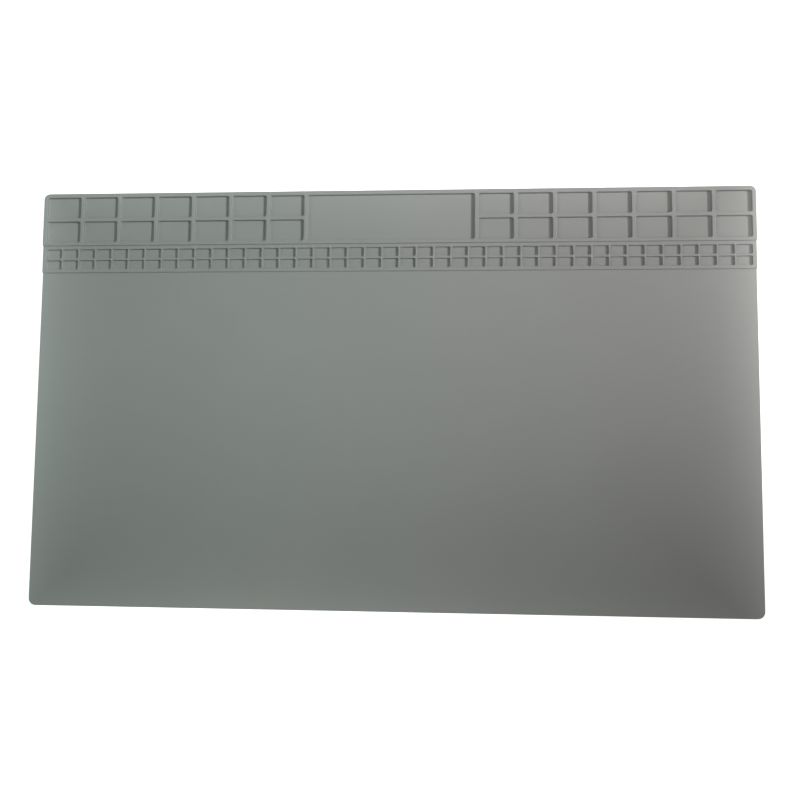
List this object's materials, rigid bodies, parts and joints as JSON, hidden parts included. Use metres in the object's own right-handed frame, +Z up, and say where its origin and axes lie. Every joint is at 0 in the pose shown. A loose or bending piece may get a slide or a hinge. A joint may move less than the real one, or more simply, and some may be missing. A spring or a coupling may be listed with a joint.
{
  "type": "silicone work mat",
  "caption": "Flat grey silicone bench mat with rounded corners and a stepped strip of moulded screw and parts recesses along one long edge.",
  "frame": {"origin": "centre of the underside, on the surface that the mat lies on", "axes": "+X along the mat's long side, +Y towards the strip of recesses, +Z up out of the work surface"},
  "size_m": [0.6, 0.35, 0.0055],
  "materials": {
    "silicone": "matte"
  },
  "bodies": {
    "root": {"work_mat": "silicone"}
  },
  "joints": []
}
